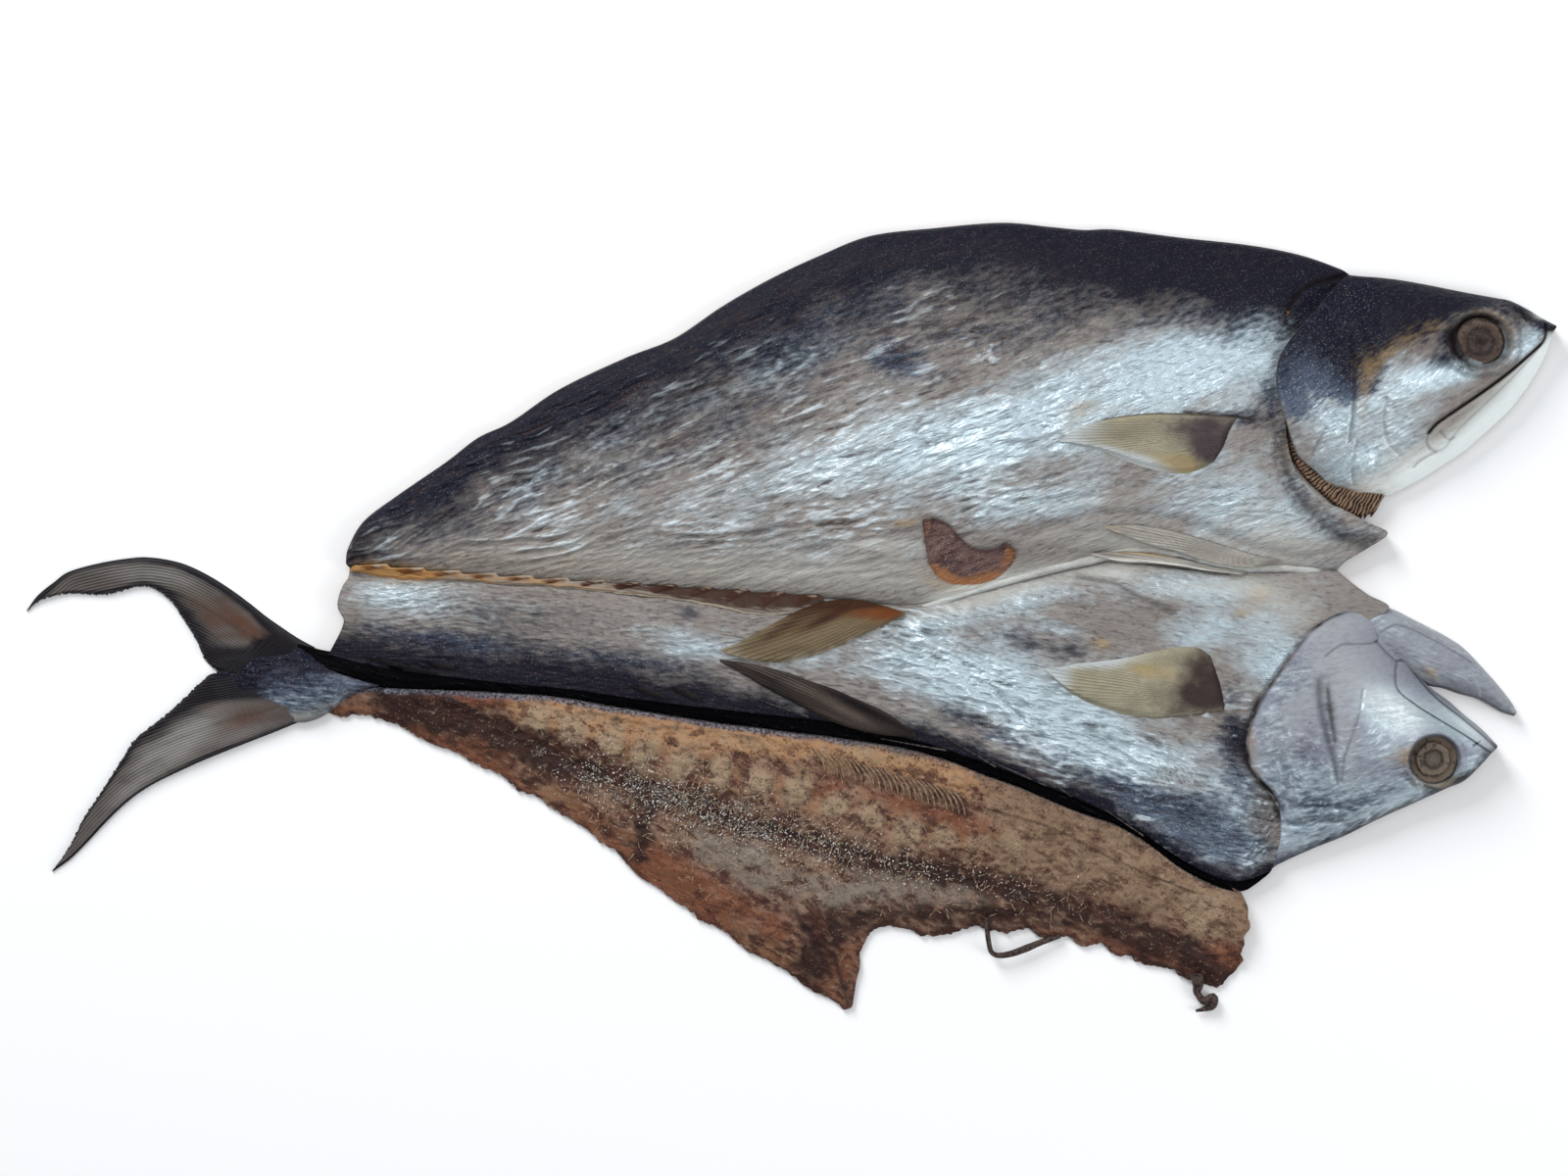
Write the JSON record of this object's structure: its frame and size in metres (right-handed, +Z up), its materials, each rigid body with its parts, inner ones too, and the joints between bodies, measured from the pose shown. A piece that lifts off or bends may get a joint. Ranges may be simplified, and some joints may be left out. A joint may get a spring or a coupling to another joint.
{
  "type": "split salted fish",
  "caption": "Whole queenfish split along its back, salted and dried, lying opened out flat with its skin up and its backbone leaf folded out.",
  "frame": {"origin": "centre of the bounding box at the surface the fish lies on", "axes": "+X from the tail towards the snouts, +Y from the backbone leaf towards the right side's back, +Z up from the resting surface"},
  "size_m": [0.4662, 0.2405, 0.019],
  "materials": {
    "skin": "silvery dried skin, navy along the back, satin",
    "flesh": "dried cut flesh, orange-brown to dark red, with salt crystals",
    "dark_fin": "dried black-brown fin rays, satin",
    "pale_fin": "dried olive-cream fin rays, satin",
    "eye": "shrunken eyeball in brown and grey rings, slight gloss",
    "gill": "dry brown gill comb, matte",
    "bone": "thin dark dried rib, satin"
  },
  "bodies": {
    "root": {"split_sides": "skin", "backbone_leaf": "flesh", "tail": "dark_fin", "right_eye": "eye", "left_eye": "eye", "right_pectoral_fin": "pale_fin", "left_pectoral_fin": "pale_fin", "right_pelvic_fin": "pale_fin", "left_pelvic_fin": "pale_fin", "anal_fin": "pale_fin", "anal_finlets": "pale_fin", "dorsal_fin": "dark_fin", "dorsal_finlets": "dark_fin", "gill_filaments": "gill", "loose_rib": "bone"}
  },
  "joints": []
}
